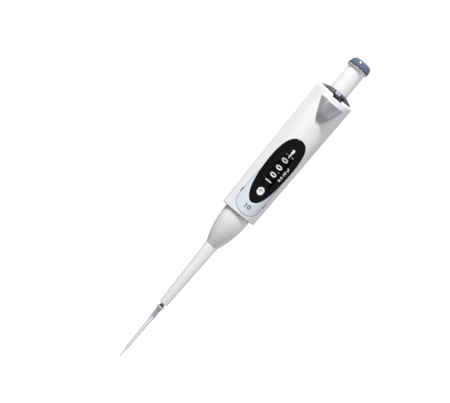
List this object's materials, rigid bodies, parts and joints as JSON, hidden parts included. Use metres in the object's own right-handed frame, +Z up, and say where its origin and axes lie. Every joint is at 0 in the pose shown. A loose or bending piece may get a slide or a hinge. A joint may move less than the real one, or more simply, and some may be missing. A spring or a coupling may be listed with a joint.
{
  "type": "adjustable micropipette",
  "caption": "Hand-held adjustable micropipette with a push button, counter display, tip ejector, finger hook and a fitted disposable tip.",
  "frame": {"origin": "on the main axis at the middle of the handle's height", "axes": "+Z up along the main axis to the push button, -Y the front with the display and the ejector key, +Y the back with the finger hook"},
  "size_m": [0.0302, 0.0593, 0.2605],
  "materials": {
    "shell_white": "satin moulded",
    "plate_dark": "fine spark-eroded",
    "display_black": "high gloss",
    "lens_clear": "polished clear",
    "label_silver": "satin foil",
    "plug_white": "satin",
    "frame_grey": "moulded",
    "brass": "turned",
    "steel": "turned",
    "sleeve_natural": "moulded acetal",
    "lock_grey": "moulded",
    "button_white": "satin moulded",
    "cap_blue": "fine satin",
    "wheel_black": "moulded",
    "print_white": "printed",
    "print_dark": "printed",
    "spring_steel": "drawn wire",
    "key_grey": "fine satin",
    "cone_grey": "satin moulded",
    "tube_white": "satin moulded",
    "nose_grey": "polished",
    "seal_black": "moulded",
    "seal_white": "waxy",
    "tip_clear": "clear moulded"
  },
  "bodies": {
    "housing": {"handle_front_shell": "shell_white", "handle_rear_shell": "shell_white", "finger_hook": "shell_white", "top_plate": "plate_dark", "display_bezel": "display_black", "display_lens": "lens_clear", "counter_mask": "display_black", "label_plate": "label_silver", "calibration_plug": "plug_white", "chassis": "frame_grey", "volume_nut": "brass", "counter_axle": "steel", "pinion_shaft": "steel", "lower_housing": "frame_grey", "spring_seat": "steel", "cone_retainer": "frame_grey", "frame_screws": "steel", "plunger_spring": "spring_steel", "blowout_spring": "spring_steel", "cone_spring": "spring_steel", "ejector_spring": "spring_steel"},
    "lock": {"volume_lock_ring": "lock_grey"},
    "sleeve": {"drive_sleeve": "sleeve_natural"},
    "screw": {"volume_screw": "steel"},
    "plunger": {"push_button": "button_white", "button_cap": "cap_blue", "push_rod": "steel", "stop_collar": "steel", "spring_collar": "steel", "piston": "steel"},
    "cup": {"blowout_cup": "steel"},
    "lay": {"lay_gear": "brass"},
    "hundredths": {"hundredths_wheel": "wheel_black"},
    "tenths": {"tenths_wheel": "wheel_black"},
    "units": {"units_wheel": "wheel_black"},
    "tens": {"tens_wheel": "wheel_black"},
    "tenths_carry": {"tenths_pinion": "brass"},
    "units_carry": {"units_pinion": "brass"},
    "tens_carry": {"tens_pinion": "brass"},
    "ejector": {"ejector_key": "key_grey", "ejector_yoke": "steel", "ejector_cone": "cone_grey", "ejector_tube": "tube_white"},
    "nose": {"tip_cone": "nose_grey", "cone_o_ring": "seal_black", "piston_seal": "seal_white", "seal_retainer": "steel"},
    "tip": {"disposable_tip": "tip_clear"}
  },
  "joints": [
    {"name": "volume_turn", "type": "hinge", "parent": "housing", "child": "sleeve", "pos_m": [0, 0, 0.012], "axis": [0, 0, 1], "range_deg": [-6842, 2]},
    {"name": "volume_set", "type": "slide", "parent": "sleeve", "child": "screw", "axis": [0, 0, 1], "range_m": [-0.01206, 0]},
    {"name": "plunger_press", "type": "slide", "parent": "screw", "child": "plunger", "axis": [0, 0, -1], "range_m": [0, 0.0157], "stiffness_N_per_m": 200, "springref_m": -0.002, "deforming": ["plunger_spring"]},
    {"name": "cup_slide", "type": "slide", "parent": "housing", "child": "cup", "axis": [0, 0, -1], "range_m": [0, 0.0031], "deforming": ["blowout_spring"]},
    {"name": "lay_spin", "type": "hinge", "parent": "housing", "child": "lay", "pos_m": [0, 0.0064, 0], "axis": [0, 0, 1], "range_deg": [-34210, 10]},
    {"name": "hundredths_spin", "type": "hinge", "parent": "housing", "child": "hundredths", "pos_m": [0, 0, -0.0042], "axis": [0, 0, 1], "range_deg": [-10, 34210]},
    {"name": "tenths_spin", "type": "hinge", "parent": "housing", "child": "tenths", "pos_m": [0, 0, -0.01035], "axis": [0, 0, 1], "range_deg": [-5, 3425]},
    {"name": "units_spin", "type": "hinge", "parent": "housing", "child": "units", "pos_m": [0, 0, -0.0165], "axis": [0, 0, 1], "range_deg": [-5, 347]},
    {"name": "tens_spin", "type": "hinge", "parent": "housing", "child": "tens", "pos_m": [0, 0, -0.02265], "axis": [0, 0, 1], "range_deg": [-2, 36]},
    {"name": "tenths_carry_spin", "type": "hinge", "parent": "housing", "child": "tenths_carry", "pos_m": [0, 0.0098, -0.007], "axis": [0, 0, 1], "range_deg": [-8555, 5]},
    {"name": "units_carry_spin", "type": "hinge", "parent": "housing", "child": "units_carry", "pos_m": [0, 0.0098, -0.0133], "axis": [0, 0, 1], "range_deg": [-860, 5]},
    {"name": "tens_carry_spin", "type": "hinge", "parent": "housing", "child": "tens_carry", "pos_m": [0, 0.0098, -0.0195], "axis": [0, 0, 1], "range_deg": [-88, 3]},
    {"name": "volume_lock", "type": "hinge", "parent": "housing", "child": "lock", "pos_m": [0, 0, 0.053], "axis": [0, 0, 1], "range_deg": [0, 16.4]},
    {"name": "ejector_press", "type": "slide", "parent": "housing", "child": "ejector", "axis": [0, 0, -1], "range_m": [0, 0.008], "stiffness_N_per_m": 250, "springref_m": -0.004, "deforming": ["ejector_spring"]},
    {"name": "cone_load", "type": "slide", "parent": "housing", "child": "nose", "axis": [0, 0, -1], "range_m": [-0.0024, 0], "stiffness_N_per_m": 400, "springref_m": 0.001, "deforming": ["cone_spring"]},
    {"name": "tip_release", "type": "slide", "parent": "nose", "child": "tip", "axis": [0, 0, -1], "range_m": [0, 0.0057]}
  ],
  "couplings": [
    {"joint": "volume_turn", "follows": "volume_set", "rad_per_m": 9895.1},
    {"joint": "lay_spin", "follows": "volume_set", "rad_per_m": 49476},
    {"joint": "hundredths_spin", "follows": "volume_set", "rad_per_m": -49476},
    {"joint": "tenths_spin", "follows": "volume_set", "rad_per_m": -4947.6},
    {"joint": "units_spin", "follows": "volume_set", "rad_per_m": -494.76},
    {"joint": "tens_spin", "follows": "volume_set", "rad_per_m": -49.476},
    {"joint": "tenths_carry_spin", "follows": "volume_set", "rad_per_m": 12369},
    {"joint": "units_carry_spin", "follows": "volume_set", "rad_per_m": 1236.9},
    {"joint": "tens_carry_spin", "follows": "volume_set", "rad_per_m": 123.69},
    {"joint": "cup_slide", "follows": "plunger_press", "ratio": 0.192},
    {"joint": "tip_release", "follows": "ejector_press", "ratio": 0.7}
  ]
}
